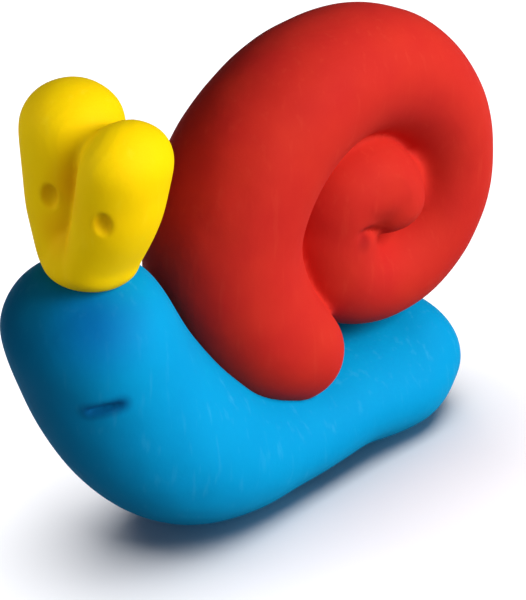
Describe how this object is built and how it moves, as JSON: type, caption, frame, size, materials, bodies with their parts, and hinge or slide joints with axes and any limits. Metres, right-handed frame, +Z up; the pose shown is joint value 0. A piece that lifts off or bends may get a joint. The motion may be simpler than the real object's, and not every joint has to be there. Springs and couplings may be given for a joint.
{
  "type": "clay snail figure",
  "caption": "Hand-rolled modelling clay snail: a body roll turned up into neck and head, a tapered roll coiled into the shell, and cone eyes pressed together on the head.",
  "frame": {"origin": "the middle of the whole snail's bounding box, on the table that it stands on", "axes": "+Z up, the face towards -Y, the tail towards +Y, +X towards the snail's left side"},
  "size_m": [0.0318, 0.0968, 0.077],
  "materials": {
    "blue_clay": "oil-based modelling clay, hand-rolled, matte with a faint waxy sheen",
    "red_clay": "oil-based modelling clay, hand-rolled, matte with a faint waxy sheen",
    "yellow_clay": "oil-based modelling clay, hand-rolled, matte with a faint waxy sheen"
  },
  "bodies": {
    "root": {"body_roll": "blue_clay", "shell_coil": "red_clay", "eye_left": "yellow_clay", "eye_right": "yellow_clay"}
  },
  "joints": []
}
